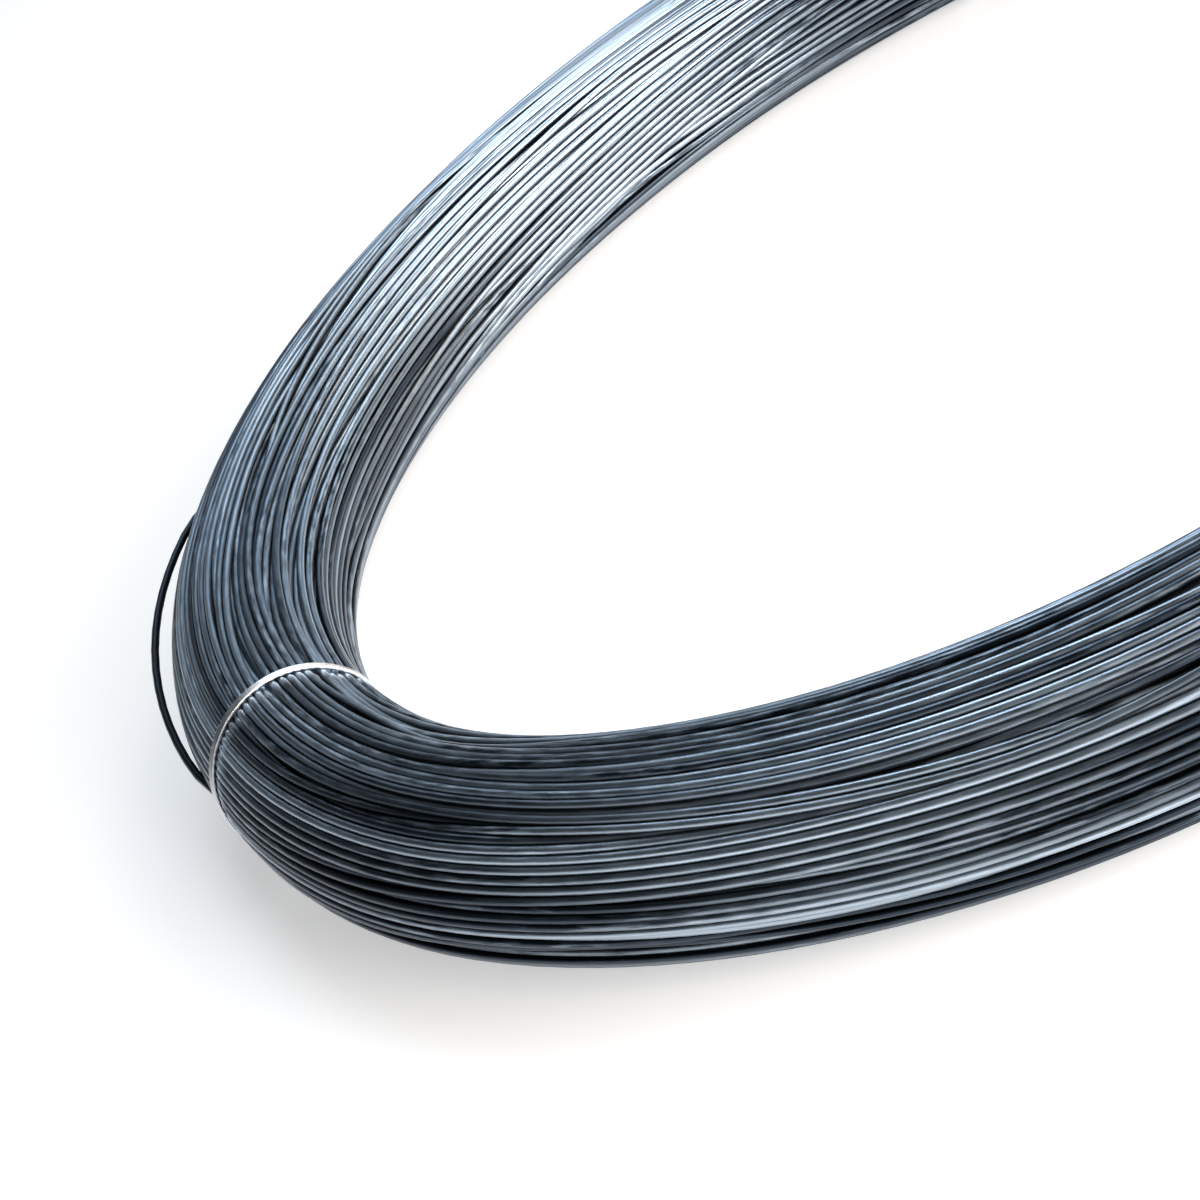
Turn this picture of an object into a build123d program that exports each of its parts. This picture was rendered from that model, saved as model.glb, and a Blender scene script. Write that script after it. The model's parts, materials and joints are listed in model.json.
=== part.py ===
"""Coil of galvanized steel wire, lying flat on the floor as it is sold.

One long wire is wound into a ring of some four hundred turns. The ring's bundle of turns is
round in section, a little flattened where it lies on the floor and where it lay against the
winding drum. Three ties, each a soft wire taken twice round the bundle and twisted shut, keep the
turns together. One turn has sprung out of the bundle beside the first tie.

The frame: +Z is up and lies on the ring's axis, and the origin is on the floor under the centre.
Sizes are in millimetres and angles in degrees. Ring angles turn about +Z from +X. Section angles
turn about the bundle's centre, from outwards to up.
"""

from build123d import *
from math import cos, radians, sin
import os

# The coil.
bore_diameter = 450.0
bundle_diameter = 57.0
wire_diameter = 2.5
floor_flattening = 0.8
bore_flattening = 0.8
groove_depth = 0.7

# The turn that has sprung out, from where it leaves the bundle to where the tie catches it.
loose_turn_first_angle = 161.0
loose_turn_last_angle = 203.0
loose_turn_first_section_angle = 50.0
loose_turn_last_section_angle = 8.0
loose_turn_bow_in_wires = 2.6
loose_turn_tuck_in_wires = 0.4

# The ties.
tie_count = 3
first_tie_angle = 200.0
tie_wire_diameter = 1.3
tie_wire_gap = 0.1
tie_bite = 0.8
tie_seat_clearance = 0.1
tie_floor_clearance = 0.1
tie_side_clearance = 0.1
pressed_corner_radius = 7.0
twist_diameter = 2.4
twist_length = 20.0
twist_seat_clearance = 0.2
twist_section_angle = -42.0

# Worked out from the sizes above.
full_turn = 360.0
bundle_radius = bundle_diameter / 2
wire_radius = wire_diameter / 2
loose_turn_bow = loose_turn_bow_in_wires * wire_diameter
loose_turn_tuck = loose_turn_tuck_in_wires * wire_diameter
tie_wire_radius = tie_wire_diameter / 2
tie_round_spacing = tie_wire_diameter + tie_wire_gap
tie_groove_width = tie_round_spacing + tie_wire_diameter + 2 * tie_side_clearance
tie_inset = tie_floor_clearance + tie_wire_diameter + tie_seat_clearance
twist_radius = twist_diameter / 2
floor_reach = bundle_radius - floor_flattening
bore_reach = bundle_radius - bore_flattening
ring_radius = bore_diameter / 2 + bore_reach
ring_height = floor_reach


def flattened_disc(radius: float, inset: float) -> Sketch:
    """Returns a disc of that radius, cut straight at the drum and the floor, each line moved in by inset."""
    left = -(bore_reach - inset)
    bottom = -(floor_reach - inset)
    kept = Pos(left, bottom) * Rectangle(radius - left, radius - bottom, align=(Align.MIN, Align.MIN))
    return Circle(radius) & kept


def bundle_section() -> Sketch:
    """Returns the bundle's section about its own centre, with a groove between each two turns that show."""
    whole = flattened_disc(bundle_radius, 0)
    outline = whole.wire()
    turn_count = int(outline.length / wire_diameter)
    groove = RegularPolygon(groove_depth, side_count=4)
    grooves = []
    for turn in range(turn_count):
        share = (2 * turn + 1) / (2 * turn_count)
        grooves.append(Plane(origin=outline @ share, x_dir=outline % share, z_dir=(0, 0, 1)) * groove)
    return whole - grooves


def bundle_point(ring_angle: float, section_angle: float, reach: float) -> Vector:
    """Returns the point that far from the bundle's centre, at those two angles."""
    out = ring_radius + reach * cos(radians(section_angle))
    up = ring_height + reach * sin(radians(section_angle))
    return Vector(out * cos(radians(ring_angle)), out * sin(radians(ring_angle)), up)


def loose_turn() -> Part:
    """Returns the stretch of wire that bows out of the bundle, with both ends tucked under its skin."""
    tucked = bundle_radius - wire_radius - loose_turn_tuck
    middle_angle = (loose_turn_first_angle + loose_turn_last_angle) / 2
    middle_section_angle = (loose_turn_first_section_angle + loose_turn_last_section_angle) / 2
    path = ThreePointArc(
        bundle_point(loose_turn_first_angle, loose_turn_first_section_angle, tucked),
        bundle_point(middle_angle, middle_section_angle, bundle_radius - wire_radius + loose_turn_bow),
        bundle_point(loose_turn_last_angle, loose_turn_last_section_angle, tucked),
    )
    return sweep(Plane(origin=path @ 0, z_dir=path % 0) * Circle(wire_radius), path=path)


def tie_plane(ring_angle: float) -> Plane:
    """Returns the plane across the bundle at that ring angle, with its normal along the turns."""
    outwards = Vector(cos(radians(ring_angle)), sin(radians(ring_angle)), 0)
    along = Vector(sin(radians(ring_angle)), -cos(radians(ring_angle)), 0)
    return Plane(origin=outwards * ring_radius + Vector(0, 0, ring_height), x_dir=outwards, z_dir=along)


def pressed_section(outset: float = 0.0) -> Sketch:
    """Returns the section that a tie presses the bundle into, about the bundle's centre: below the
    ridges of the turns, and deeper at the floor and the bore, where the whole tie is sunk."""
    outline = flattened_disc(bundle_radius - tie_bite + outset, tie_inset - outset)
    return fillet(outline.vertices(), pressed_corner_radius + outset)


def tie_groove() -> Part:
    """Returns what a tie presses out of the bundle, about the bundle's centre."""
    pressed_out = Circle(bundle_diameter) - pressed_section()
    return extrude(pressed_out, tie_groove_width / 2, both=True)


def tie_wire() -> Part:
    """Returns one tie, about the bundle's centre: two rounds of soft wire, joined by their twisted
    ends, which lie along the bundle low on its outer side."""
    path = pressed_section(tie_seat_clearance + tie_wire_radius).wire()
    tie = sweep(Plane(origin=path @ 0, z_dir=path % 0) * Circle(tie_wire_radius), path=path)
    rounds = [Pos(0, 0, side * tie_round_spacing / 2) * tie for side in (-1, 1)]
    reach = bundle_radius + twist_seat_clearance + twist_radius
    foot = Rot(0, 0, twist_section_angle) * Pos(reach, 0, -tie_round_spacing)
    twist = foot * Cylinder(twist_radius, twist_length, align=(Align.CENTER, Align.CENTER, Align.MIN))
    return twist + rounds


def wire_coil(tie_planes: list[Plane]) -> Part:
    """Returns the coil: the turned bundle with its loose turn, pressed in where the ties sink into it."""
    bundle = revolve(Plane.XZ * Pos(ring_radius, ring_height) * bundle_section(), Axis.Z)
    groove = tie_groove()
    return bundle + loose_turn() - [plane * groove for plane in tie_planes]


os.makedirs("parts", exist_ok=True)
tie_planes = [tie_plane(first_tie_angle + number * full_turn / tie_count) for number in range(tie_count)]
export_step(wire_coil(tie_planes), "parts/wire_coil.step")
tie = tie_wire()
for number, plane in enumerate(tie_planes, start=1):
    export_step(plane * tie, f"parts/tie_wire_{number}.step")
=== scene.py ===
"""The coil of galvanized wire: its turns laid one by one, its wire ties, and a plain studio round it."""

import json
import logging
import math
from collections import defaultdict
from dataclasses import dataclass, field
from enum import Enum

import bpy
import numpy as np
from mathutils import Matrix, Vector


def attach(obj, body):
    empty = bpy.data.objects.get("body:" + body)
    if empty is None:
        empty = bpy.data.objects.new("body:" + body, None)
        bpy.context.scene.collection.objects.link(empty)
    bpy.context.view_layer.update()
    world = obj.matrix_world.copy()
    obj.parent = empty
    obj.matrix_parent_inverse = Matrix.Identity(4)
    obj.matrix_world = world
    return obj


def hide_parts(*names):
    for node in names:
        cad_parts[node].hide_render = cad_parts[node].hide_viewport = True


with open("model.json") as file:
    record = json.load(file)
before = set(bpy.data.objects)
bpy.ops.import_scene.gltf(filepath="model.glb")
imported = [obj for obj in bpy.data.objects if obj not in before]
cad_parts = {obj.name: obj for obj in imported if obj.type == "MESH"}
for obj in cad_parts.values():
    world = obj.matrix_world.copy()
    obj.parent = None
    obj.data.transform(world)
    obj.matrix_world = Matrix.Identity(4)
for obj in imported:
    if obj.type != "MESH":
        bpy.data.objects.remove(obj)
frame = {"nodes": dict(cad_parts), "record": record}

Array = np.ndarray
Socket = bpy.types.NodeSocket
Span = tuple[float, float]
Colour = tuple[float, ...]

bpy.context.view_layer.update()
BODY = "root"
COIL = "wire_coil"
MM = 0.001
FULL_TURN = 2 * math.pi
SURFACE_VALUES = ("along", "around", "tone", "crest")
SOCKETS = {
    ("INPUT", "Float"): ("Along", "Around", "Tone", "Crest", "Patch length", "Grime", "Rough low",
                         "Rough high"),
    ("INPUT", "Color"): ("Dull", "Bright"),
    ("OUTPUT", "Float"): ("Roughness", "Height"),
    ("OUTPUT", "Color"): ("Color",),
}
TINY = 1e-9

logging.basicConfig(level=logging.INFO, format="%(message)s")
log = logging.getLogger("wire_coil")


class Lay(Enum):
    """Which way a layer of turns climbs round the bundle's section."""

    WITH = 1
    AGAINST = -1


def in_scene(name: str, data: bpy.types.ID) -> bpy.types.Object:
    """Puts an object in the scene.

    Args:
        name: Its name.
        data: Its mesh, light or camera.

    Returns:
        The object.
    """
    made = bpy.data.objects.new(name, data)
    bpy.context.scene.collection.objects.link(made)
    return made


def smooth_along(values: Array, spread: float) -> Array:
    """Smooths rows of values along the wire with a bell curve.

    Args:
        values: One row for each station along the wire.
        spread: The bell's standard deviation, in stations.

    Returns:
        Rows of the same shape, with the first and last rows' values carried on past the ends.
    """
    pad = int(4 * spread) + 1
    padded = np.concatenate([np.repeat(values[:1], pad, 0), values, np.repeat(values[-1:], pad, 0)])
    count = len(padded)
    frequency = np.fft.rfftfreq(count)
    bell = np.exp(-2 * (math.pi * frequency * spread) ** 2)
    spectrum = np.fft.rfft(padded, axis=0) * bell.reshape((-1,) + (1,) * (values.ndim - 1))
    return np.fft.irfft(spectrum, count, axis=0)[pad:-pad]


def eased(share: Array) -> Array:
    """Returns shares from 0 to 1 with a soft start and end."""
    return share * share * (3 - 2 * np.clip(share, 0, 1))


def section_angle(places: Array) -> Array:
    """Returns the section angles, in degrees, of places in the bundle's section."""
    return np.degrees(np.arctan2(places[..., 1], places[..., 0]))


def bump(angle: Array, centre: float, width: float) -> Array:
    """Returns a bell of height one at centre, round the ring. All angles are in degrees."""
    off = (angle - centre + 180) % 360 - 180
    return np.exp(-0.5 * (off / width) ** 2)


@dataclass(frozen=True)
class Swell:
    """A place where the bundle is fatter or thinner than its round section.

    The two offsets are outwards at the ring's rim and inwards at its bore, in metres.
    """

    ring_angle: float
    width: float
    rim: float
    bore: float


@dataclass
class Ring:
    """The bundle's ring: where it lies, and how a place in its section becomes a place in the world.

    The height is that of the bundle's centre, and its flattened bore side is as far from it.
    """

    wire_diameter: float = 2.5 * MM
    flattening: float = 0.8 * MM
    seam_angle: float = 20.0
    first_tie_angle: float = 200.0
    swells: tuple[Swell, ...] = (
        Swell(98.0, 12.0, 1.6 * MM, 0.0),
        Swell(158.0, 16.0, -1.2 * MM, 0.0),
        Swell(187.0, 9.0, -1.2 * MM, 0.0),
        Swell(219.0, 8.0, 1.2 * MM, -0.8 * MM),
        Swell(245.0, 10.0, -0.6 * MM, 0.0),
        Swell(268.0, 10.0, 1.4 * MM, 0.0),
    )
    bore_radius: float = field(init=False)
    bundle_radius: float = field(init=False)
    radius: float = field(init=False)
    height: float = field(init=False)

    def __post_init__(self) -> None:
        """Takes the ring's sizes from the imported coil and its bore."""
        bore = next(mount for mount in frame["record"]["mounts"] if mount["name"] == "bore")
        self.bore_radius = bore["dims"]["r_mm"] * MM
        self.bundle_radius = bore["pos_m"][2] + self.flattening
        self.radius = self.bore_radius + self.bundle_radius - self.flattening
        self.height = self.bundle_radius - self.flattening

    @property
    def wire_radius(self) -> float:
        """The wire's radius."""
        return self.wire_diameter / 2

    def tie_angles(self, count: int) -> tuple[float, ...]:
        """Returns the ring angles of that many ties, evenly spaced."""
        return tuple(self.first_tie_angle + 360 * number / count for number in range(count))

    def directions(self, ring_angle: Array) -> tuple[Array, Array]:
        """Returns the unit directions outwards and upwards at those ring angles, in degrees."""
        angle, zero = np.radians(ring_angle), np.zeros(np.shape(ring_angle))
        return np.stack([np.cos(angle), np.sin(angle), zero], -1), np.stack([zero, zero, zero + 1], -1)

    def swollen(self, ring_angle: Array, out: Array) -> Array:
        """Moves places outwards or inwards where the bundle swells.

        Args:
            ring_angle: The places' ring angles, in degrees.
            out: How far outwards they are from the bundle's centre, in metres.

        Returns:
            The moved distances outwards.
        """
        rim_share = 0.5 + 0.5 * np.clip(out / self.bundle_radius, -1, 1)
        moved = out
        for swell in self.swells:
            shape = bump(ring_angle, swell.ring_angle, swell.width)
            moved = moved + shape * (swell.rim * rim_share - swell.bore * (1 - rim_share))
        return moved

    def place(self, ring_angle: Array, out: Array, up: Array) -> Array:
        """Returns world places for places out and up from the bundle's centre at those ring angles."""
        reach, angle = self.radius + self.swollen(ring_angle, out), np.radians(ring_angle)
        return np.stack([reach * np.cos(angle), reach * np.sin(angle), self.height + up], -1)


@dataclass(frozen=True)
class Line:
    """A line over the bundle's skin, from one pair of ring and section angles to another, in degrees."""

    first_ring: float
    last_ring: float
    first_section: float
    last_section: float

    def at(self, ring_angle: Array) -> tuple[Array, Array]:
        """Returns how far along the line each ring angle is, and the line's section angle there."""
        share = (ring_angle - self.first_ring) / (self.last_ring - self.first_ring)
        return share, self.first_section + share * (self.last_section - self.first_section)


@dataclass(frozen=True)
class Strand(Line):
    """A stretch of wire that is laid over the others.

    It is lift metres above the skin of turns along its line, and bow metres more at the middle. Round
    each end it dives sink wires under the skin over dive degrees, and deeper until it is out of sight.
    """

    lift: float = 0.0
    dive: float = 20.0
    bow: float = 0.0
    tone: float = 0.5
    sink: float = 2.0


@dataclass(frozen=True)
class Area:
    """A soft area of the bundle's skin. Angles are in degrees.

    The amount at its middle is how far the turns shift round the section there, in degrees, or how
    much brighter the zinc is painted there: painted light above zero and painted shade below it.
    """

    ring_angle: float
    ring_width: float
    section: float
    section_width: float
    amount: float

    def shape(self, ring_angle: Array, section: Array) -> Array:
        """Returns how far within the area each place is, from 0 to 1."""
        here = bump(ring_angle, self.ring_angle, self.ring_width)
        return here * bump(section, self.section, self.section_width)


@dataclass(frozen=True)
class Gap(Line):
    """A line along which the outer turns stand apart and those between them dive.

    The turns move opening degrees away from the line, and fewer the further they are from it. The
    valley along it is depth metres deep, and fades over end_share of the line at both ends.
    """

    opening: float
    depth: float = 2.2 * MM
    reach: float = 24.0
    half_width: float = 2.3
    edge: float = 1.5
    end_share: float = 0.25

    def along(self, ring_angle: Array, section: Array) -> tuple[Array, Array]:
        """Finds places on the gap.

        Args:
            ring_angle: The places' ring angles.
            section: Their section angles.

        Returns:
            How far open the gap is at each place, from 0 to 1, and how far past its line the place is.
        """
        share, line = self.at(ring_angle)
        window = np.clip(np.minimum(share, 1 - share) / self.end_share, 0, 1)
        return eased(window), (section - line + 180) % 360 - 180

    def shift(self, ring_angle: Array, section: Array) -> Array:
        """Returns how far round the section each place moves away from the line."""
        window, off = self.along(ring_angle, section)
        return self.opening * window * np.tanh(off / self.edge) * np.exp(-0.5 * (off / self.reach) ** 2)

    def valley(self, ring_angle: Array, section: Array) -> Array:
        """Returns how deep the valley is at each place."""
        window, off = self.along(ring_angle, section)
        return self.depth * window * np.exp(-0.5 * (off / self.half_width) ** 2)


@dataclass
class TubeMesh:
    """Wires as tubes of one mesh, each along a row of places in the bundle's section."""

    ring: Ring
    sides: int
    rows: dict[str, list[Array]] = field(default_factory=lambda: defaultdict(list))
    count: int = 0

    def outwards(self, centres: Array) -> Array:
        """Finds which way is out of the bundle.

        Args:
            centres: World places, one a row.

        Returns:
            The unit direction away from the bundle's centre at each.
        """
        outwards, upwards = self.ring.directions(np.degrees(np.arctan2(centres[:, 1], centres[:, 0])))
        away = centres - outwards * self.ring.radius - upwards * self.ring.height
        return away / np.maximum(np.linalg.norm(away, axis=1, keepdims=True), TINY)

    def add_tube(self, centres: Array, across: Array, over: Array, radius: float,
                 along: Array, tone: Array, closed: bool = False) -> None:
        """Adds one tube, which has capped ends or is closed to a loop.

        Args:
            centres: The tube's centre line, one place a row.
            across: The first unit direction of its section at each place.
            over: The second unit direction of its section at each place.
            radius: The tube's radius.
            along: The length of wire up to each place, in metres.
            tone: A shade at each place, from 0 for dull to 1 for bright, and more where a highlight is
                painted beside the ties.
            closed: Whether the tube's last place joins its first.
        """
        turn = FULL_TURN * np.arange(self.sides) / self.sides
        circle = (across[:, None] * np.cos(turn)[None, :, None]
                  + over[:, None] * np.sin(turn)[None, :, None])
        rings = centres[:, None] + radius * circle
        steps = len(centres)
        corner = self.count + np.arange(steps * self.sides).reshape(steps, self.sides)
        beside = np.roll(corner, -1, 1)
        quads = np.stack([corner, beside, np.roll(beside, -1, 0), np.roll(corner, -1, 0)], -1)
        # The faces look outwards whichever way round the section's directions are.
        outside = 1 if np.cross(across[0], over[0]) @ (centres[1] - centres[0]) > 0 else -1
        quads = quads[..., ::outside]
        if not closed:
            quads = quads[:-1]
            self.rows["caps"] += [corner[0][::-outside], corner[-1][::outside]]
        self.rows["quads"].append(quads.reshape(-1, 4))
        self.rows["places"].append(rings.reshape(-1, 3))
        self.rows["along"].append(np.repeat(along, self.sides))
        self.rows["around"].append(np.tile(turn / FULL_TURN, steps))
        self.rows["tone"].append(np.repeat(tone, self.sides))
        self.rows["crest"].append((circle * self.outwards(centres)[:, None]).sum(-1).ravel())
        self.count += steps * self.sides

    def add_turns(self, angle: Array, section: Array, along: Array, tone: Array) -> None:
        """Adds a wire that follows places in the bundle's section at those ring angles."""
        centres = self.ring.place(angle, section[:, 0], section[:, 1])
        self.add_tube(centres, *self.ring.directions(angle), self.ring.wire_radius, along, tone)

    def build(self, name: str) -> bpy.types.Object:
        """Makes the mesh, smooth but for its caps, with its surface values as attributes.

        Args:
            name: The object's name.

        Returns:
            The object, in the scene.
        """
        mesh = bpy.data.meshes.new(name)
        quads, caps = np.concatenate(self.rows["quads"]), self.rows["caps"]
        loops = np.concatenate([quads.ravel()] + caps)
        starts = np.append(4 * np.arange(len(quads)), 4 * len(quads) + self.sides * np.arange(len(caps)))
        mesh.vertices.add(self.count)
        mesh.vertices.foreach_set("co", np.concatenate(self.rows["places"]).astype(np.float32).ravel())
        mesh.loops.add(len(loops))
        mesh.loops.foreach_set("vertex_index", loops.astype(np.int32))
        mesh.polygons.add(len(starts))
        mesh.polygons.foreach_set("loop_start", starts.astype(np.int32))
        mesh.update(calc_edges=True)
        mesh.validate()
        mesh.polygons.foreach_set("use_smooth", np.arange(len(starts)) < len(quads))
        for label in SURFACE_VALUES:
            attribute = mesh.attributes.new(label, "FLOAT", "POINT")
            attribute.data.foreach_set("value", np.concatenate(self.rows[label]).astype(np.float32))
        return in_scene(name, mesh)


@dataclass
class Winding:
    """How the outer turns lie: their paths round the ring, settled until they lie on and beside each other.

    The tail's depth and near_reach are in wires, spreads in stations, and the widths in degrees.
    """

    ring: Ring
    tie_angles: tuple[float, ...]
    tie_bite: float = 0.8 * MM
    tie_inset: float = 1.5 * MM
    tie_dent: float = 0.8 * MM
    dent_width: float = 0.45
    dent_shares: tuple[float, ...] = (-2.0, -1.3, -0.65, 0.65, 1.3, 2.0)
    held_width: float = 3.0
    flat_slack: float = 0.1 * MM
    stations: int = 180
    layers: int = 4
    outer_layers: int = 2
    fill: float = 0.92
    row_share: float = 0.87
    drift: float = 1.0 * MM
    drift_spread: float = 15.0
    group_drift: float = 3.0 * MM
    group_spread: float = 18.0
    group_turns: float = 2.5
    group_reach: int = 7
    tail_start: float = 0.93
    tail_share: float = 0.07
    tail_depth: float = 2.2
    ripple: float = 0.25 * MM
    ripple_spread: float = 8.0
    proud: float = 0.6 * MM
    pressure: float = 0.012 * MM
    press_until: float = 0.6
    near_reach: float = 1.35
    pair_rounds: int = 12
    push_share: float = 0.6
    stride: float = 1.4
    first_spread: float = 4.5
    spread_drop: float = 2.7
    last_spread: float = 1.0
    stiffness: float = 2.2
    smooth_until: float = 0.85
    rounds: int = 320
    quick_rounds: int = 120
    seed: int = 11
    flows: tuple[Area, ...] = (
        Area(276.0, 33.0, 70.0, 200.0, -42.0),
        Area(136.0, 26.0, 172.0, 28.0, 26.0),
        Area(130.0, 28.0, 98.0, 26.0, -14.0),
    )
    gaps: tuple[Gap, ...] = (
        Gap(84.0, 142.0, 157.0, 142.0, 3.0, 1.4 * MM),
        Gap(134.0, 202.0, 149.0, 136.0, 2.0, 1.4 * MM),
        Gap(150.0, 202.0, 112.0, 97.0, 5.0),
        Gap(98.0, 150.0, 60.0, 70.0, 2.5, 1.2 * MM),
        Gap(201.0, 224.0, 150.0, 110.0, 3.0, 1.8 * MM),
        Gap(222.0, 292.0, 84.0, 41.0, 2.0, 0.7 * MM),
        Gap(206.0, 252.0, 4.0, -15.0, 3.5),
        Gap(218.0, 292.0, -19.0, -28.0, 5.0, 2.4 * MM),
    )
    strands: tuple[Strand, ...] = (
        Strand(165.0, 200.0, 52.0, 10.0, 0.0, 10.0, 7.0 * MM, 0.0),
        Strand(127.0, 168.0, 89.0, 112.0, 0.4 * MM, 26.0),
    )
    layer_of: Array = field(init=False)
    paths: Array = field(init=False)
    fixed: Array = field(init=False)

    @property
    def angles(self) -> Array:
        """The stations' ring angles, in degrees."""
        return self.ring.seam_angle + 360 * np.arange(self.stations) / self.stations

    def pinch(self) -> Array:
        """Returns how tightly the ties hold the bundle at each station, from 0 to 1."""
        held = sum(bump(self.angles, tie_angle, self.held_width) for tie_angle in self.tie_angles)
        return np.clip(held, 0, 1)

    def dented(self, angle: Array, section: Array) -> tuple[Array, Array]:
        """Dents outer turns under the ties, where the stations are too far apart to show it.

        Args:
            angle: The ring angles of a stretch of turns, in degrees, rising from station to station.
            section: Their places in the bundle's section.

        Returns:
            The angles with some added at each tie, and the places at them.
        """
        offsets = self.dent_width * np.array(self.dent_shares)
        laps = 360 * np.arange(angle[0] // 360, angle[-1] // 360 + 1)
        near = (laps[:, None, None] + np.array(self.tie_angles)[:, None] + offsets).ravel()
        finer = np.sort(np.concatenate([angle, near[(near > angle[0]) & (near < angle[-1])]]))
        places = np.stack([np.interp(finer, angle, section[:, axis]) for axis in range(2)], -1)
        dent = self.tie_dent * sum(bump(finer, tie, self.dent_width) for tie in self.tie_angles)
        reach = np.sqrt((places ** 2).sum(-1))
        return finer, places * (1 - dent / reach)[:, None]

    def stack_layers(self, random: np.random.Generator) -> tuple[Array, Array]:
        """Stacks the layers from the core outwards, and keeps the layer of each turn.

        Args:
            random: What each layer's first place is drawn from.

        Returns:
            Each turn's reach from the bundle's centre, and its angle in the section, in radians.
        """
        ring = self.ring
        skin = ring.bundle_radius - ring.wire_radius
        reaches, places, layer_of = [], [], []
        for layer in reversed(range(self.layers)):
            reach = skin - layer * self.row_share * ring.wire_diameter
            count = int(FULL_TURN * reach * self.fill / ring.wire_diameter)
            lay = Lay.WITH if layer % 2 == 0 else Lay.AGAINST
            start = random.uniform(0, FULL_TURN)
            reaches += [reach] * count
            places += list(start + lay.value * FULL_TURN * np.arange(count) / count)
            layer_of += [layer] * count
        self.layer_of = np.array(layer_of)
        return np.array(reaches), np.array(places)

    def shifted(self, angle: Array) -> Array:
        """Moves the turns round the section where they flow together and where gaps part them.

        Args:
            angle: The section angle of each turn at each station, in radians.

        Returns:
            The moved angles.
        """
        nominal = np.degrees(angle)
        for flow in self.flows:
            angle = angle + math.radians(flow.amount) * flow.shape(self.angles, nominal)
        outer = self.layer_of[:, None] < self.outer_layers
        for gap in self.gaps:
            angle = angle + np.radians(gap.shift(self.angles, np.degrees(angle))) * outer
        return angle

    def strays(self, random: np.random.Generator) -> tuple[Array, Array]:
        """Draws how far each turn strays from its place.

        Args:
            random: What the strays are drawn from.

        Returns:
            How far each turn strays sideways and outwards at each station, in metres.
        """
        turns = len(self.layer_of)
        noise = random.standard_normal((turns * self.stations, 3))
        drift = smooth_along(noise[:, 0], self.drift_spread)
        ripple = smooth_along(noise[:, 1], self.ripple_spread)
        group = smooth_along(noise[:, 2], self.group_spread)
        group = sum(math.exp(-0.5 * (turn / self.group_turns) ** 2) * np.roll(group, turn * self.stations)
                    for turn in range(-self.group_reach, self.group_reach + 1))
        sideways = self.drift * drift / drift.std() + self.group_drift * group / group.std()
        return sideways.reshape(turns, -1), self.ripple * (ripple / ripple.std()).reshape(turns, -1)

    def lay(self) -> None:
        """Lays the turns layer by layer, each a place further round the section than the last."""
        random = np.random.default_rng(self.seed)
        reaches, places = self.stack_layers(random)
        share = np.arange(self.stations) / self.stations
        next_reach = np.append(reaches[1:], reaches[-1])
        step = np.append(np.diff(places), places[-1] - places[-2])
        step = (step + math.pi) % FULL_TURN - math.pi
        reach = reaches[:, None] + (next_reach - reaches)[:, None] * share
        angle = self.shifted(places[:, None] + step[:, None] * share)
        sideways, outwards = self.strays(random)
        angle = angle + sideways / reach
        reach += outwards
        tail = np.clip((share - self.tail_start) / self.tail_share, 0, 1)
        reach[-1] -= self.tail_depth * self.ring.wire_diameter * tail
        self.paths = np.stack([reach * np.cos(angle), reach * np.sin(angle)], -1)
        self.fixed = np.stack([self.strand_path(strand) for strand in self.strands])

    def strand_path(self, strand: Strand) -> Array:
        """Works out where a strand lies.

        Args:
            strand: The strand.

        Returns:
            Its place in the bundle's section at each station, and no number where it is absent.
        """
        ring = self.ring
        middle = (strand.first_ring + strand.last_ring) / 2
        angle = middle + (self.angles - middle + 180) % 360 - 180
        share, section = strand.at(angle)
        section = np.radians(section)
        outside = np.maximum(strand.first_ring - angle, angle - strand.last_ring)
        sunk = eased(np.maximum((outside + strand.dive / 2) / strand.dive, 0))
        bowed = strand.bow * np.sin(math.pi * np.clip(share, 0, 1))
        reach = ring.bundle_radius - ring.wire_radius + strand.lift + bowed
        reach = reach - sunk * strand.sink * ring.wire_diameter
        path = np.stack([reach * np.cos(section), reach * np.sin(section)], -1)
        path[outside > strand.dive] = np.nan
        return path

    def neighbours(self, everything: Array) -> tuple[Array, ...]:
        """Finds the pairs of wires that are near each other.

        Args:
            everything: The free wires' places, then the fixed strands'.

        Returns:
            The first wire, the second wire and the station of each pair.
        """
        reach = self.near_reach * self.ring.wire_diameter
        pairs = []
        upper = np.triu(np.ones((len(everything), len(everything)), bool), 1)
        for index in range(self.stations):
            place = everything[:, index]
            apart = place[:, None] - place[None]
            near = (np.einsum("ijk,ijk->ij", apart, apart) < reach ** 2) & upper
            first, second = np.nonzero(near)
            pairs.append((first, second, np.full(len(first), index)))
        return tuple(np.concatenate(rows) for rows in zip(*pairs))

    def pushes(self, everything: Array, pairs: tuple[Array, ...], free: int) -> tuple[Array, float]:
        """Works out how far each wire is pushed by those that it overlaps.

        Args:
            everything: The free wires' places, then the fixed strands'.
            pairs: What neighbours returned.
            free: How many of the wires are free.

        Returns:
            A push for each free wire at each station, and the deepest overlap.
        """
        first, second, station = pairs
        apart = everything[second, station] - everything[first, station]
        distance = np.sqrt((apart ** 2).sum(-1)) + TINY
        overlap = np.clip(self.ring.wire_diameter - distance, 0, None)
        share = np.where(second >= free, 1.0, 0.5)
        push = (overlap * share / distance)[:, None] * apart
        size = len(everything) * self.stations
        total = np.zeros((size, 2))
        for axis in range(2):
            total[:, axis] -= np.bincount(first * self.stations + station, push[:, axis], size)
            total[:, axis] += np.bincount(second * self.stations + station, push[:, axis], size)
        return total.reshape(len(everything), self.stations, 2)[:free], float(overlap.max())

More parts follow.
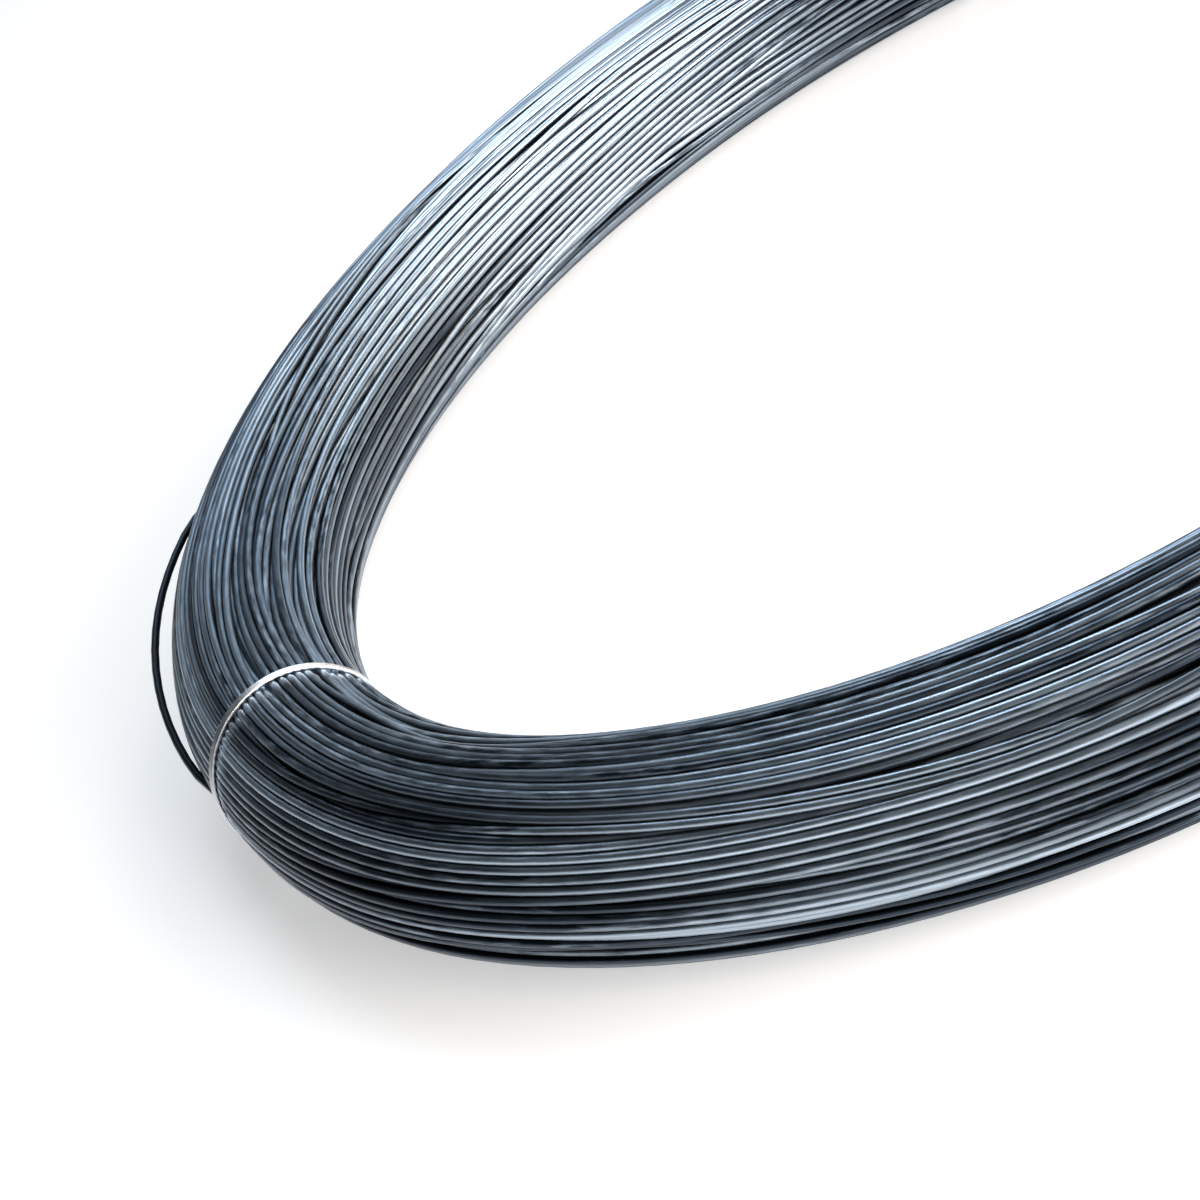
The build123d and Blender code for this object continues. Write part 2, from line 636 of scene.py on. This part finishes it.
    def kept_in(self) -> Array:
        """Keeps the wires between the skin and the core, and off the floor.

        Returns:
            How far each place has to move for that.
        """
        ring, paths = self.ring, self.paths
        pinch = self.pinch()
        skin = ring.bundle_radius - ring.wire_radius
        valleys = sum(gap.valley(self.angles, section_angle(paths)) for gap in self.gaps)
        outer = skin + (self.proud - valleys) * (1 - pinch) - (self.tie_bite - self.tie_dent) * pinch
        inner = skin - self.layers * self.row_share * ring.wire_diameter - self.tie_bite
        flat = ring.height - ring.wire_radius
        flat = flat - (self.tie_inset + self.flat_slack - self.tie_dent) * pinch
        reach = np.sqrt((paths ** 2).sum(-1))
        wanted = np.clip(reach, inner, outer)
        moved = paths * (wanted / np.maximum(reach, TINY))[..., None]
        moved = np.maximum(moved, -flat[None, :, None])
        return moved - paths

    def flowing(self, rows: Array, spread: float) -> Array:
        """Returns values of the turns' places, smoothed along the one long wire."""
        return smooth_along(rows.reshape(-1, 2), spread).reshape(rows.shape)

    def settle(self) -> None:
        """Pushes overlapping turns apart, a little at a time and smoothly along the wire."""
        free = len(self.paths)
        rounds = self.rounds
        lifted = (self.layer_of > 0)[:, None, None] * self.pressure
        for turn in range(rounds):
            everything = np.concatenate([self.paths, self.fixed])
            if turn % self.pair_rounds == 0:
                pairs = self.neighbours(everything)
            push, deepest = self.pushes(everything, pairs, free)
            late = turn / rounds
            push = self.push_share * push + self.kept_in()
            if late < self.press_until:
                push = push + lifted * self.paths / np.sqrt((self.paths ** 2).sum(-1, keepdims=True))
            spread = self.first_spread - self.spread_drop * late
            self.paths = self.paths + self.stride * self.flowing(push, spread)
            if turn % self.pair_rounds == self.pair_rounds - 1 and late < self.smooth_until:
                self.paths = self.flowing(self.paths, self.stiffness)
        self.paths = self.paths + self.flowing(self.kept_in(), self.last_spread)
        self.paths = self.paths + self.kept_in()
        log.info("winding: %d turns settled, deepest overlap %.2f mm", free, deepest / MM)


@dataclass
class Coil:
    """The coil's own wire: its outer turns, the strands laid over them, and the core of inner turns."""

    ring: Ring
    winding: Winding
    piece_turns: int = 34
    layer_sides: tuple[int, ...] = (10, 8, 6, 6)
    strand_sides: int = 10
    core_places: int = 120
    core_sides: int = 48
    tone_middle: float = 0.5
    tone_reach: float = 0.28
    tone_spread: float = 45.0
    tone_seed: int = 5
    # Painted highlight: short bright dashes on the outer turns just beside each tie.
    painted_tie_glint: float = 0.9
    painted_tie_glint_offset: float = 0.75
    painted_tie_glint_width: float = 0.35
    # Painted light and shade: areas where the zinc's tone is raised to paint highlights or lowered to paint
    # shade, such as the darker underside all round the coil.
    painted_light_areas: tuple[Area, ...] = (
        Area(219.0, 13.0, 5.0, 40.0, -0.7),
        Area(252.0, 15.0, 48.0, 17.0, 0.75),
        Area(249.0, 11.0, -7.0, 15.0, 0.7),
        Area(288.0, 20.0, 16.0, 72.0, -0.8),
        Area(117.0, 18.0, 150.0, 44.0, 0.6),
        Area(86.0, 14.0, 150.0, 50.0, -0.25),
        Area(0.0, 900.0, -90.0, 42.0, -0.8),
    )
    tones: Array = field(init=False)

    def __post_init__(self) -> None:
        """Gives each station of the long wire a shade: a tone that changes slowly along it at random, raised
        and lowered over set areas as painted light and painted shade.
        """
        random = np.random.default_rng(self.tone_seed)
        winding = self.winding
        tone = smooth_along(random.standard_normal(winding.paths[..., 0].size), self.tone_spread)
        section = section_angle(winding.paths).ravel()
        ring_angle = np.tile(winding.angles, len(winding.paths))
        # The painted light and shade of those areas is added to the random tone.
        painted_light = sum(shade.amount * shade.shape(ring_angle, section) for shade in self.painted_light_areas)
        self.tones = np.clip(self.tone_middle + self.tone_reach * tone / tone.std() + painted_light, 0, 1)

    def turns(self, name: str, first: int, last: int, sides: int) -> bpy.types.Object:
        """Builds some turns as one stretch of wire.

        Args:
            name: The piece's name.
            first: The first of the turns.
            last: The turn after the last of them.
            sides: How many sides the wire has.

        Returns:
            The piece.
        """
        winding = self.winding
        outer = winding.layer_of[first] < winding.outer_layers
        places = winding.paths.reshape(-1, 2)
        rows = np.arange(first * winding.stations, min(last * winding.stations + 1, len(places)))
        station_angle = self.ring.seam_angle + 360 * rows / winding.stations
        angle, section = station_angle, places[rows]
        if outer:
            angle, section = winding.dented(angle, section)
        tube = TubeMesh(self.ring, sides)
        tone = np.interp(angle, station_angle, self.tones[rows])
        # Painted highlight: the tone rises in short dashes just beside each tie.
        if outer:
            tone += self.painted_tie_glint * sum(bump(angle, tie + self.painted_tie_glint_offset, self.painted_tie_glint_width)
                                      for tie in winding.tie_angles)
        tube.add_turns(angle, section, np.radians(angle) * self.ring.radius, tone)
        return tube.build(name)

    def strands(self) -> bpy.types.Object:
        """Builds the strands that cross over the outer turns.

        Returns:
            Both strands, as one piece.
        """
        winding = self.winding
        tube = TubeMesh(self.ring, self.strand_sides)
        for strand, path in zip(winding.strands, winding.fixed):
            here = np.flatnonzero(~np.isnan(path[:, 0]))
            angle = winding.angles[here]
            along = np.radians(angle) * self.ring.radius
            tube.add_turns(angle, path[here], along, np.full(len(here), strand.tone))
        return tube.build("crossing_strands")

    def core(self) -> bpy.types.Object:
        """Builds the plain core that stands for the turns too deep to see, in a near-black finish that is
        painted shade.

        Returns:
            The piece.
        """
        winding, ring = self.winding, self.ring
        reach = ring.bundle_radius - ring.wire_radius
        reach -= winding.layers * winding.row_share * ring.wire_diameter + winding.tie_bite
        angle = np.arange(self.core_places) * (360 / self.core_places)
        along = np.radians(angle) * ring.radius
        middle = np.zeros_like(angle)
        tube = TubeMesh(ring, self.core_sides)
        centres = ring.place(angle, middle, middle)
        tube.add_tube(centres, *ring.directions(angle), reach, along, middle, closed=True)
        return tube.build("inner_turns")

    def build(self, finish: bpy.types.Material, dark: bpy.types.Material) -> list[bpy.types.Object]:
        """Builds every piece of the coil and gives each its finish.

        Args:
            finish: The turns' and strands' material.
            dark: The core's material.

        Returns:
            The pieces.
        """
        winding = self.winding
        made = []
        for layer in range(winding.layers):
            own = np.flatnonzero(winding.layer_of == layer)
            first, last = int(own[0]), int(own[-1]) + 1
            cuts = np.linspace(first, last, math.ceil((last - first) / self.piece_turns) + 1).astype(int)
            sides = self.layer_sides[min(layer, len(self.layer_sides) - 1)]
            for part, (start, stop) in enumerate(zip(cuts[:-1], cuts[1:]), start=1):
                made.append(self.turns(f"turns_layer_{layer + 1}_{part}", int(start), int(stop), sides))
        made.append(self.strands())
        for piece in made:
            piece.data.materials.append(finish)
        core = self.core()
        core.data.materials.append(dark)
        return made + [core]


@dataclass
class Nodes:
    """A shader node tree that is wired up in short lines. A value is a plain one or another node's output."""

    tree: bpy.types.NodeTree

    def feed(self, socket: Socket, value: object) -> None:
        """Fills a socket.

        Args:
            socket: The input to fill.
            value: What it gets.
        """
        if isinstance(value, Socket):
            self.tree.links.new(value, socket)
        else:
            socket.default_value = value

    def add(self, kind: str, values: dict, output: object = 0, **settings: str) -> Socket:
        """Adds a node.

        Args:
            kind: Its type, without the ShaderNode that starts it.
            values: A value for each input that gets one.
            output: The name or number of the output that is wanted.
            settings: The node's own settings.

        Returns:
            That output.
        """
        node = self.tree.nodes.new(f"ShaderNode{kind}")
        for name, setting in settings.items():
            setattr(node, name, setting)
        for socket, value in values.items():
            self.feed(node.inputs[socket], value)
        return node.outputs[output]

    def math(self, operation: str, *values: object) -> Socket:
        """Returns the result of a math node."""
        return self.add("Math", dict(enumerate(values)), operation=operation)

    def vector(self, *values: object) -> Socket:
        """Returns three values as one vector."""
        return self.add("CombineXYZ", dict(enumerate(values)))

    def noise(self, vector: object, detail: float) -> Socket:
        """Returns a noise from 0 to 1 at that vector, which carries the scale."""
        return self.add("TexNoise", {"Vector": vector, "Scale": 1.0, "Detail": detail}, "Fac")

    def ramp(self, value: object, ends: tuple, new_ends: tuple) -> Socket:
        """Returns a value carried from one range to another, and kept within it."""
        return self.add("MapRange", dict(enumerate((value, *ends, *new_ends))))

    def mix(self, share: object, first: object, second: object) -> Socket:
        """Returns a mix of two colours."""
        return self.add("Mix", {"Factor": share, 6: first, 7: second}, 2, data_type="RGBA")


@dataclass(frozen=True)
class ZincFinish:
    """A zinc coat on drawn wire: patches of dull and bright zinc, lines left by the drawing die, and painted
    shade between turns.
    """

    name: str
    dull: Colour
    bright: Colour
    rough_low: float
    rough_high: float
    patch_length: float
    # How strongly painted shade darkens the sides of each wire that face into the bundle.
    groove_shade: float = 1.0
    metallic: float = 1.0
    relief_strength: float = 0.35
    relief_height: float = 0.05 * MM

    def build(self, group: bpy.types.NodeTree) -> bpy.types.Material:
        """Makes the material.

        Args:
            group: The shared zinc group, which is placed in it.

        Returns:
            The material.
        """
        material = bpy.data.materials.new(self.name)
        material.use_nodes = True
        wiring = Nodes(material.node_tree)
        shader = wiring.tree.nodes["Principled BSDF"].inputs
        zinc = wiring.tree.nodes.new("ShaderNodeGroup")
        zinc.node_tree = group
        for label in SURFACE_VALUES:
            value = wiring.add("Attribute", {}, "Fac", attribute_name=label)
            wiring.feed(zinc.inputs[label.capitalize()], value)
        values = {"Dull": (*self.dull, 1), "Bright": (*self.bright, 1), "Patch length": self.patch_length,
                  "Grime": self.groove_shade, "Rough low": self.rough_low, "Rough high": self.rough_high}
        for label, value in values.items():
            zinc.inputs[label].default_value = value
        relief = wiring.add("Bump", {"Strength": self.relief_strength, "Distance": self.relief_height,
                                     "Height": zinc.outputs["Height"]})
        for label, value in (("Metallic", self.metallic), ("Base Color", zinc.outputs["Color"]),
                             ("Roughness", zinc.outputs["Roughness"]), ("Normal", relief)):
            wiring.feed(shader[label], value)
        return material


@dataclass(frozen=True)
class ZincPattern:
    """The look that all the wires share: patches, long stretches, drawing lines and painted shade between
    turns.

    A step is how fast a noise changes along the wire, against the patches. Each pair of ends is carried
    to the pair that follows it, and rough_ends to the finish's own roughness.
    """

    patch_ends: Span = (0.38, 0.62)
    patch_shades: Span = (-0.25, 0.25)
    stretch_step: float = 0.06
    stretch_ends: Span = (0.35, 0.65)
    stretch_shades: Span = (0.25, 0.55)
    spell_step: float = 0.09
    spell_place: float = 7.0
    spell_ends: Span = (0.48, 0.62)
    spell_strengths: Span = (0.1, 1.0)
    line_step: float = 0.3
    line_closeness: float = 9.0
    tone_ends: Span = (0.0, 1.4)
    tone_shades: Span = (-0.45, 0.75)
    # Painted shade: places that face into the bundle, by their crest, are darkened towards near black.
    crest_ends: Span = (0.0, 0.75)
    crest_shade: Span = (0.92, 0.0)
    rough_ends: Span = (0.3, 0.7)
    groove_shade_colour: Colour = (0.004, 0.004, 0.005, 1)

    def build(self) -> bpy.types.NodeTree:
        """Builds the shared group for drawn and galvanized wire.

        Returns:
            A group that puts out a colour, a roughness and a height, from the place along and around
            the wire.
        """
        tree = bpy.data.node_groups.new("drawn_zinc", "ShaderNodeTree")
        for (way, kind), labels in SOCKETS.items():
            for label in labels:
                tree.interface.new_socket(name=label, in_out=way, socket_type=f"NodeSocket{kind}")
        given = tree.nodes.new("NodeGroupInput").outputs
        made = tree.nodes.new("NodeGroupOutput").inputs
        wiring = Nodes(tree)
        circle = wiring.math("MULTIPLY", given["Around"], FULL_TURN)
        side = wiring.math("COSINE", circle)
        face = wiring.math("SINE", circle)
        step = wiring.math("DIVIDE", given["Along"], given["Patch length"])
        patches = wiring.noise(wiring.vector(step, side, face), detail=3.0)
        slow = wiring.math("MULTIPLY", step, self.stretch_step)
        stretches = wiring.noise(wiring.vector(slow, side, face), detail=2.0)
        slow = wiring.math("MULTIPLY", step, self.spell_step)
        spells = wiring.noise(wiring.vector(slow, self.spell_place, given["Tone"]), detail=1.0)
        slow = wiring.math("MULTIPLY", step, self.line_step)
        close = (wiring.math("MULTIPLY", part, self.line_closeness) for part in (side, face))
        lines = wiring.noise(wiring.vector(slow, *close), detail=2.0)
        dashes = wiring.math("MULTIPLY", wiring.ramp(patches, self.patch_ends, self.patch_shades),
                             wiring.ramp(spells, self.spell_ends, self.spell_strengths))
        shade = wiring.math("ADD", wiring.ramp(stretches, self.stretch_ends, self.stretch_shades), dashes)
        shade = wiring.math("ADD", shade, wiring.ramp(given["Tone"], self.tone_ends, self.tone_shades))
        zinc = wiring.mix(shade, given["Dull"], given["Bright"])
        # Painted shade between turns: the colour goes towards near black on the sides of each wire that face
        # into the bundle.
        deep = wiring.ramp(given["Crest"], self.crest_ends, self.crest_shade)
        groove_shade_share = wiring.math("MULTIPLY", deep, given["Grime"])
        wiring.feed(made["Color"], wiring.mix(groove_shade_share, zinc, self.groove_shade_colour))
        roughness = (given["Rough low"], given["Rough high"])
        wiring.feed(made["Roughness"], wiring.ramp(patches, self.rough_ends, roughness))
        wiring.feed(made["Height"], lines)
        return tree


@dataclass
class Tie:
    """One tie: two rounds of soft wire side by side, with its ends twisted together on the rim side."""

    ring: Ring
    winding: Winding
    number: int
    ring_angle: float
    wire_diameter: float = 1.45 * MM
    gap: float = 0.05 * MM
    seat: float = 0.1 * MM
    floor_seat: float = -0.1 * MM
    facing: float = 0.1
    soft_places: int = 5
    twist_section: float = -42.0
    twist_length: float = 20.0 * MM
    twist_turns: float = 5.0
    twist_gap: float = 0.35 * MM
    twist_steps: int = 90
    steps: int = 120
    sides: int = 12
    tone: float = 0.5

    def outline(self) -> tuple[Array, Array]:
        """Takes the tie's wire round the bundle, straight along the flattened sides.

        Returns:
            Section angles, in radians, and the wire's reach from the bundle's centre at each.
        """
        winding, ring = self.winding, self.ring
        section = np.radians(np.linspace(-180, 180, self.steps, endpoint=False))
        round_reach = ring.bundle_radius - winding.tie_bite + self.seat + self.wire_diameter / 2
        reach = np.full(self.steps, round_reach)
        flat = ring.height - winding.tie_inset + self.floor_seat + self.wire_diameter / 2
        for direction in (np.cos(section), np.sin(section)):
            flat_reach = flat / np.maximum(-direction, self.facing)
            reach = np.minimum(reach, np.where(direction < -self.facing, flat_reach, 1.0))
        more = self.soft_places + 1
        wrapped = np.concatenate([reach[-more:], reach, reach[:more]])
        even = np.ones(self.soft_places) / self.soft_places
        return section, np.convolve(wrapped, even, "same")[more:-more]

    def round_path(self, offset: float) -> Array:
        """Lays one round of the tie.

        Args:
            offset: How far it is moved along the turns, in metres.

        Returns:
            Its centre line, one place a row.
        """
        section, reach = self.outline()
        ring_angle = np.full(self.steps, self.ring_angle - np.degrees(offset / self.ring.radius))
        return self.ring.place(ring_angle, reach * np.cos(section), reach * np.sin(section))

    def add_wire(self, tube: TubeMesh, path: Array, sideways: Array, closed: bool) -> None:
        """Adds a wire to the tie.

        Args:
            tube: The tie's mesh.
            path: The wire's centre line, one place a row.
            sideways: A direction that the path never follows.
            closed: Whether the path's last place joins its first.
        """
        ahead = np.roll(path, -1, 0) - np.roll(path, 1, 0) if closed else np.gradient(path, axis=0)
        ahead /= np.linalg.norm(ahead, axis=1, keepdims=True)
        across = sideways - (ahead @ sideways)[:, None] * ahead
        across /= np.linalg.norm(across, axis=1, keepdims=True)
        over = np.cross(ahead, across)
        length = np.concatenate([[0.0], np.cumsum(np.linalg.norm(np.diff(path, axis=0), axis=1))])
        tone = np.full(len(path), self.tone)
        tube.add_tube(path, across, over, self.wire_diameter / 2, length, tone, closed)

    def twist_paths(self) -> list[Array]:
        """Lays the two strands of the twisted ends along the bundle.

        Returns:
            Their centre lines.
        """
        ring = self.ring
        reach = ring.bundle_radius + self.wire_diameter / 2 + self.twist_gap
        share = np.linspace(0, 1, self.twist_steps)
        ring_angle = self.ring_angle + np.degrees(self.twist_length * share / (ring.radius + reach))
        section, radius = math.radians(self.twist_section), self.wire_diameter / 2
        paths = []
        for strand in range(2):
            turn = FULL_TURN * self.twist_turns * share + math.pi * strand
            far, beside = reach + radius * np.cos(turn), radius * np.sin(turn)
            out = far * math.cos(section) - beside * math.sin(section)
            up = far * math.sin(section) + beside * math.cos(section)
            paths.append(ring.place(ring_angle, out, up))
        return paths

    def build(self, finish: bpy.types.Material) -> bpy.types.Object:
        """Builds the tie as one piece.

        Args:
            finish: Its material.

        Returns:
            The piece.
        """
        tube = TubeMesh(self.ring, self.sides)
        spacing = self.wire_diameter + self.gap
        outwards, upwards = self.ring.directions(np.array(self.ring_angle))
        for side in (-0.5, 0.5):
            self.add_wire(tube, self.round_path(side * spacing), np.cross(upwards, outwards), closed=True)
        for path in self.twist_paths():
            self.add_wire(tube, path, outwards, closed=False)
        made = tube.build(f"tie_{self.number}")
        made.data.materials.append(finish)
        return made


@dataclass(frozen=True)
class Lamp:
    """A soft rectangular lamp that points at the origin. Its angles are in degrees."""

    name: str
    azimuth: float
    elevation: float
    size: Span
    power: float
    colour: Colour
    distance: float = 1.6

    def build(self) -> None:
        """Hangs the lamp."""
        data = bpy.data.lights.new(self.name, "AREA")
        data.shape = "RECTANGLE"
        data.size, data.size_y = self.size
        data.energy = self.power
        data.color = self.colour
        turn, lift = math.radians(self.azimuth), math.radians(self.elevation)
        outwards = Vector((math.cos(turn) * math.cos(lift), math.sin(turn) * math.cos(lift), math.sin(lift)))
        made = in_scene(self.name, data)
        made.location = outwards * self.distance
        made.rotation_mode = "QUATERNION"
        made.rotation_quaternion = (-outwards).to_track_quat("-Z", "Y")


@dataclass
class Studio:
    """The plain floor and room, the soft lamps and the camera.

    The camera's distance is in ring radii, and its angles are in degrees.
    """

    ring: Ring
    camera_distance: float = 3.5819
    elevation: float = 25.7
    roll: float = 29.11
    yaw: float = -9.68
    pitch: float = 2.54
    lens: float = 90.1
    floor_size: float = 24.0
    floor_colour: Colour = (0.68, 0.68, 0.68, 1)
    floor_glow: float = 0.5
    floor_roughness: float = 0.9
    room_colour: Colour = (0.85, 0.93, 1.0, 1)
    wall_strength: float = 0.2
    ceiling_strength: float = 0.05
    horizon_band: Span = (0.05, 0.13)
    ceiling_band: Span = (0.25, 0.55)
    lamps: tuple[Lamp, ...] = (
        Lamp("key_lamp", -50.0, 18.0, (1.3, 0.8), 47.0, (1.0, 0.95, 0.9)),
        Lamp("fill_lamp", -40.0, 42.0, (1.2, 0.9), 11.0, (1.0, 0.94, 0.9)),
        Lamp("side_lamp", -10.0, 18.0, (0.9, 0.7), 12.0, (1.0, 0.88, 0.76)),
        Lamp("high_lamp", 45.0, 45.0, (0.6, 0.6), 6.0, (1.0, 0.86, 0.7)),
        Lamp("back_lamp", 90.0, 62.0, (0.7, 0.7), 10.5, (0.78, 0.88, 1.0)),
        Lamp("sky_lamp", 75.0, 40.0, (0.6, 0.6), 2.5, (0.36, 0.68, 1.0)),
    )

    def camera(self) -> None:
        """Sets the camera at the photograph's angle."""
        lift = math.radians(self.elevation)
        back = np.array([0, -math.cos(lift), math.sin(lift)])
        right = np.array([1.0, 0, 0])
        looking = np.stack([right, np.cross(back, right), back])
        for axis, angle in ((1, self.yaw), (0, self.pitch), (2, self.roll)):
            turn = np.array(Matrix.Rotation(math.radians(angle), 3, "XYZ"[axis]))
            looking = turn @ looking
        place = back * self.camera_distance * self.ring.radius
        place[2] += self.ring.height
        matrix = np.eye(4)
        matrix[:3, :3] = looking.T
        matrix[:3, 3] = place
        data = bpy.data.cameras.new("camera")
        data.lens = self.lens
        made = in_scene("camera", data)
        made.matrix_world = Matrix(matrix.tolist())
        bpy.context.scene.camera = made

    def floor(self) -> None:
        """Lays the pale floor."""
        half = self.floor_size / 2
        mesh = bpy.data.meshes.new("floor")
        corners = [(-half, -half, 0), (half, -half, 0), (half, half, 0), (-half, half, 0)]
        mesh.from_pydata(corners, [], [(0, 1, 2, 3)])
        made = in_scene("floor", mesh)
        material = bpy.data.materials.new("floor")
        material.use_nodes = True
        wiring = Nodes(material.node_tree)
        # Only the rays that see or mirror the floor meet its glow, and not those that light the coil.
        rays = wiring.tree.nodes.new("ShaderNodeLightPath").outputs
        seen = wiring.math("ADD", rays["Is Camera Ray"], rays["Is Glossy Ray"])
        seen = wiring.math("ADD", seen, rays["Is Transmission Ray"])
        glow = wiring.math("MULTIPLY", seen, self.floor_glow)
        values = {"Base Color": self.floor_colour, "Roughness": self.floor_roughness,
                  "Specular IOR Level": 0.0, "Emission Color": (1, 1, 1, 1), "Emission Strength": glow}
        for label, value in values.items():
            wiring.feed(wiring.tree.nodes["Principled BSDF"].inputs[label], value)
        mesh.materials.append(material)

    def world(self) -> None:
        """Sets a room that is white at the horizon, grey at its walls and dark at its ceiling."""
        world = bpy.data.worlds.new("studio_room")
        world.use_nodes = True
        wiring = Nodes(world.node_tree)
        direction = wiring.add("TexCoord", {}, "Generated")
        height = wiring.add("SeparateXYZ", {0: direction}, "Z")
        horizon = wiring.ramp(height, self.horizon_band, (1.0, self.wall_strength))
        darker = self.ceiling_strength / self.wall_strength
        ceiling = wiring.ramp(height, self.ceiling_band, (1.0, darker))
        background = wiring.tree.nodes["Background"]
        wiring.feed(background.inputs["Strength"], wiring.math("MULTIPLY", horizon, ceiling))
        background.inputs["Color"].default_value = self.room_colour
        bpy.context.scene.world = world

    def build(self) -> None:
        """Builds the studio."""
        bpy.context.scene.view_settings.view_transform = "Standard"
        self.camera()
        self.floor()
        self.world()
        for lamp in self.lamps:
            lamp.build()


GALVANIZED_WIRE = ZincFinish("galvanized_wire", dull=(0.042, 0.056, 0.075), bright=(0.54, 0.64, 0.74),
                             rough_low=0.3, rough_high=0.44, patch_length=9 * MM)
# The core's near-black finish is painted shade, standing for the shade that the outer turns cast on the deep
# ones.
CORE_PAINTED_SHADE = ZincFinish("shaded_wire", dull=(0.03, 0.035, 0.045), bright=(0.045, 0.05, 0.06),
                         rough_low=0.5, rough_high=0.6, patch_length=6 * MM)
BRIGHT_TIE_WIRE = ZincFinish("bright_tie_wire", dull=(0.6, 0.61, 0.63), bright=(0.84, 0.85, 0.87),
                             rough_low=0.3, rough_high=0.44, patch_length=4 * MM, groove_shade=0.2)


def main() -> None:
    """Builds the coil, its ties and the studio, and reports each piece."""
    ring = Ring()
    tie_nodes = sorted(name for name in frame["nodes"] if name.startswith("tie_wire"))
    tie_angles = ring.tie_angles(len(tie_nodes))
    winding = Winding(ring, tie_angles)
    winding.lay()
    winding.settle()
    group = ZincPattern().build()
    wire, core, bright = (finish.build(group) for finish in (GALVANIZED_WIRE, CORE_PAINTED_SHADE, BRIGHT_TIE_WIRE))
    for piece in Coil(ring, winding).build(wire, core):
        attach(piece, BODY)
        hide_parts(COIL)
        log.info("%s: %d faces", piece.name, len(piece.data.polygons))
    for number, (node, angle) in enumerate(zip(tie_nodes, tie_angles), start=1):
        piece = Tie(ring, winding, number, angle).build(bright)
        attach(piece, BODY)
        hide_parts(node)
        log.info("%s: %d faces", piece.name, len(piece.data.polygons))
    Studio(ring).build()


if __name__ == "__main__":
    main()
